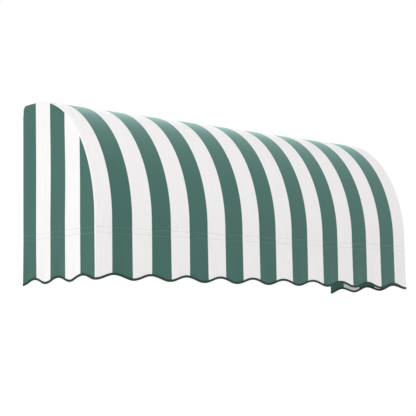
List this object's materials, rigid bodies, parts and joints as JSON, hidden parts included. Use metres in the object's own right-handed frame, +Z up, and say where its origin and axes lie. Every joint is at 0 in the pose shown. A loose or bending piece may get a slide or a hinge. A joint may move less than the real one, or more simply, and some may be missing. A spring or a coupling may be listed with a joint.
{
  "type": "window awning",
  "caption": "Fixed waterfall window awning: striped canvas with a scalloped, bound valance over a wall-mounted frame of square aluminium tube.",
  "frame": {"origin": "on the wall plane at mid width, between the two wall screw holes of the centre header bracket", "axes": "+X along the wall to the right as seen from the street, +Y into the wall, +Z up; the cover reaches out along -Y"},
  "size_m": [1.9324, 0.5092, 0.776],
  "materials": {
    "canvas": "woven acrylic, broad green and white stripes",
    "braid": "woven binding",
    "pocket_cloth": "plain woven acrylic",
    "frame": "mill finish extrusion",
    "connector": "moulded nylon",
    "bracket": "zinc plated"
  },
  "bodies": {
    "root": {"front_panel": "canvas", "left_end_panel": "canvas", "right_end_panel": "canvas", "front_braid": "braid", "left_end_braid": "braid", "right_end_braid": "braid", "left_front_pocket": "pocket_cloth", "right_front_pocket": "pocket_cloth", "left_arm_pocket": "pocket_cloth", "right_arm_pocket": "pocket_cloth", "header_rail": "frame", "front_rail": "frame", "centre_bow": "frame", "left_end_bow": "frame", "right_end_bow": "frame", "left_upright": "frame", "right_upright": "frame", "left_arm": "frame", "right_arm": "frame", "header_clamp_bar": "frame", "left_clamp_bar": "frame", "right_clamp_bar": "frame", "centre_bow_head_saddle": "connector", "centre_bow_foot_saddle": "connector", "left_top_corner": "connector", "right_top_corner": "connector", "left_front_corner": "connector", "right_front_corner": "connector", "left_rear_corner": "connector", "right_rear_corner": "connector", "left_header_bracket": "bracket", "centre_header_bracket": "bracket", "right_header_bracket": "bracket", "left_foot_bracket": "bracket", "right_foot_bracket": "bracket"}
  },
  "joints": []
}
